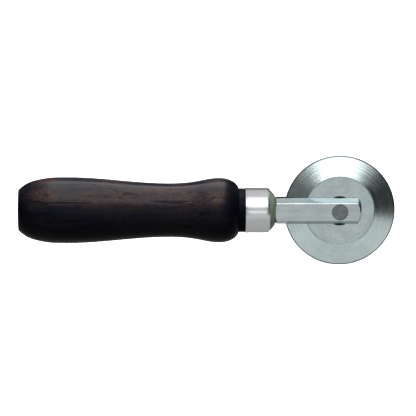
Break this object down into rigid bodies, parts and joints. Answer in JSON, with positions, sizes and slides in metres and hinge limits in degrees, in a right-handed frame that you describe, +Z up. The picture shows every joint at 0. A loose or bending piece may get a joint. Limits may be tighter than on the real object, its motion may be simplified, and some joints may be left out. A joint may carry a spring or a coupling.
{
  "type": "tracing wheel",
  "caption": "Hand tracing wheel: a smooth bevelled steel disc turns on a pin in a slotted hexagon bar, with a turned hardwood handle, ferrule and domed collar.",
  "frame": {"origin": "centre of the flat butt of the handle", "axes": "+X along the handle from the butt to the wheel, +Y along the axle of the wheel, +Z up in the plane of the wheel"},
  "size_m": [0.1725, 0.0304, 0.0508],
  "materials": {
    "hardwood": "dark stained, satin lacquer",
    "aluminium": "spun and polished",
    "green_enamel": "dull olive green enamel",
    "bar_steel": "ground",
    "pin_steel": "turned, grey",
    "wheel_steel": "turned, fine concentric marks",
    "bronze": "sintered",
    "black_nylon": "smooth"
  },
  "bodies": {
    "frame": {"handle": "hardwood", "ferrule": "aluminium", "collar": "green_enamel", "fork": "bar_steel", "axle_pin": "pin_steel"},
    "wheel_set": {"wheel": "wheel_steel", "wheel_bush": "bronze", "left_washer": "black_nylon", "right_washer": "black_nylon"}
  },
  "joints": [
    {"name": "wheel_spin", "type": "hinge", "parent": "frame", "child": "wheel_set", "pos_m": [0.1471, 0, 0], "axis": [0, 1, 0], "continuous": true}
  ]
}
